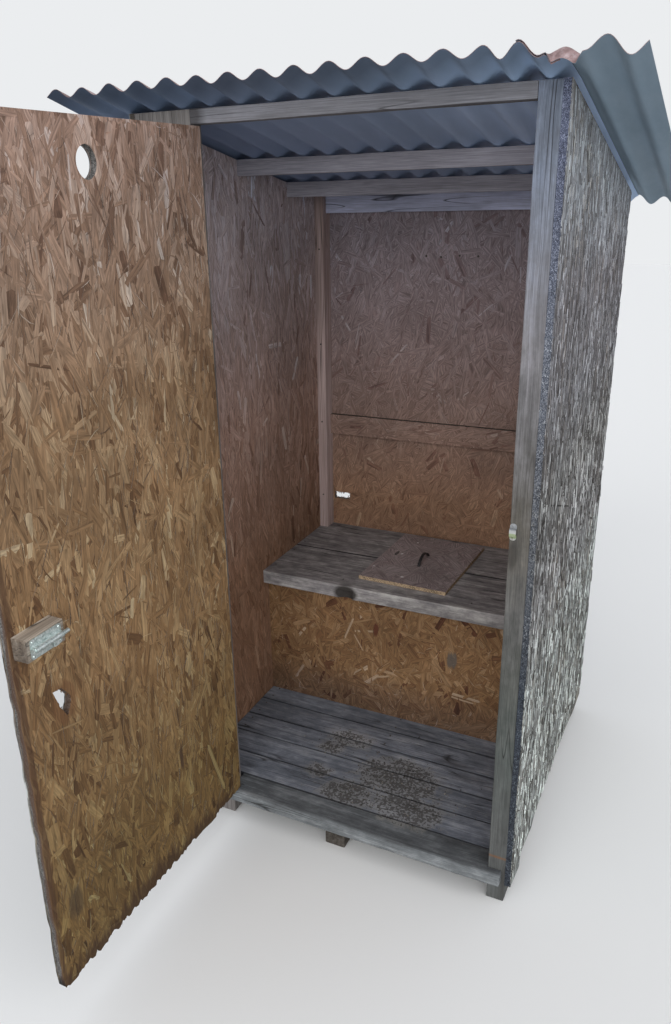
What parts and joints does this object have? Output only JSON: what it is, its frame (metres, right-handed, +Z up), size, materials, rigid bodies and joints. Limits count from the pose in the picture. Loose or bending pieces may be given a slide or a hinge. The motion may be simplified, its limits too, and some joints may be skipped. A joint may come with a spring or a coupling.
{
  "type": "outhouse",
  "caption": "Small weathered wooden outhouse with an inset door, a slide bolt, a bench seat with a loose lid and a corrugated roof falling to the back.",
  "frame": {"origin": "on the ground under the middle of the floor plan of the walls", "axes": "+X to the right along the front, +Y from the doorway to the back wall, +Z up"},
  "size_m": [1.285, 2.018, 1.9966],
  "materials": {
    "grey_timber": "weathered, rough",
    "tan_timber": "dry, rough",
    "dark_timber": "damp, rough",
    "strand_board": "strand board, matt",
    "door_board": "strand board, weathered",
    "painted_sheet": "worn paint on corrugated sheet",
    "dark_steel": "dark, worn",
    "zinc_steel": "zinc plated, dull",
    "painted_keeper": "pale worn paint"
  },
  "bodies": {
    "house": {"base_skids": "dark_timber", "front_floor_board": "grey_timber", "floor_boards": "grey_timber", "right_front_post": "grey_timber", "left_front_plank": "tan_timber", "header": "tan_timber", "middle_purlin": "tan_timber", "rear_purlin": "tan_timber", "back_top_rail": "tan_timber", "left_corner_batten": "tan_timber", "right_corner_batten": "tan_timber", "left_wall": "strand_board", "right_wall": "strand_board", "back_wall_lower": "strand_board", "back_wall_upper": "strand_board", "back_wall_top": "strand_board", "back_belt_strip": "strand_board", "bench_front_panel": "strand_board", "bench_front_plank": "grey_timber", "bench_rear_plank": "grey_timber", "bench_cleats": "tan_timber", "roof_sheet_left": "painted_sheet", "roof_sheet_right": "painted_sheet", "frame_hinge_leaves": "zinc_steel", "bolt_keeper": "painted_keeper"},
    "door": {"door_panel": "door_board", "bolt_block": "tan_timber", "bolt_plate": "zinc_steel", "door_hinge_leaves": "zinc_steel"},
    "bolt": {"bolt_rod": "zinc_steel"},
    "lid": {"seat_lid": "strand_board", "lid_handle": "dark_steel"}
  },
  "joints": [
    {"name": "door_swing", "type": "hinge", "parent": "house", "child": "door", "pos_m": [-0.3315, -0.512, 1], "axis": [0, 0, 1], "range_deg": [-60, 90]},
    {"name": "bolt_slide", "type": "slide", "parent": "door", "child": "bolt", "axis": [0, -1, 0], "range_m": [0, 0.038]},
    {"name": "lid_lift", "type": "slide", "parent": "house", "child": "lid", "axis": [0, 0, 1], "range_m": [0, 0.25]}
  ]
}
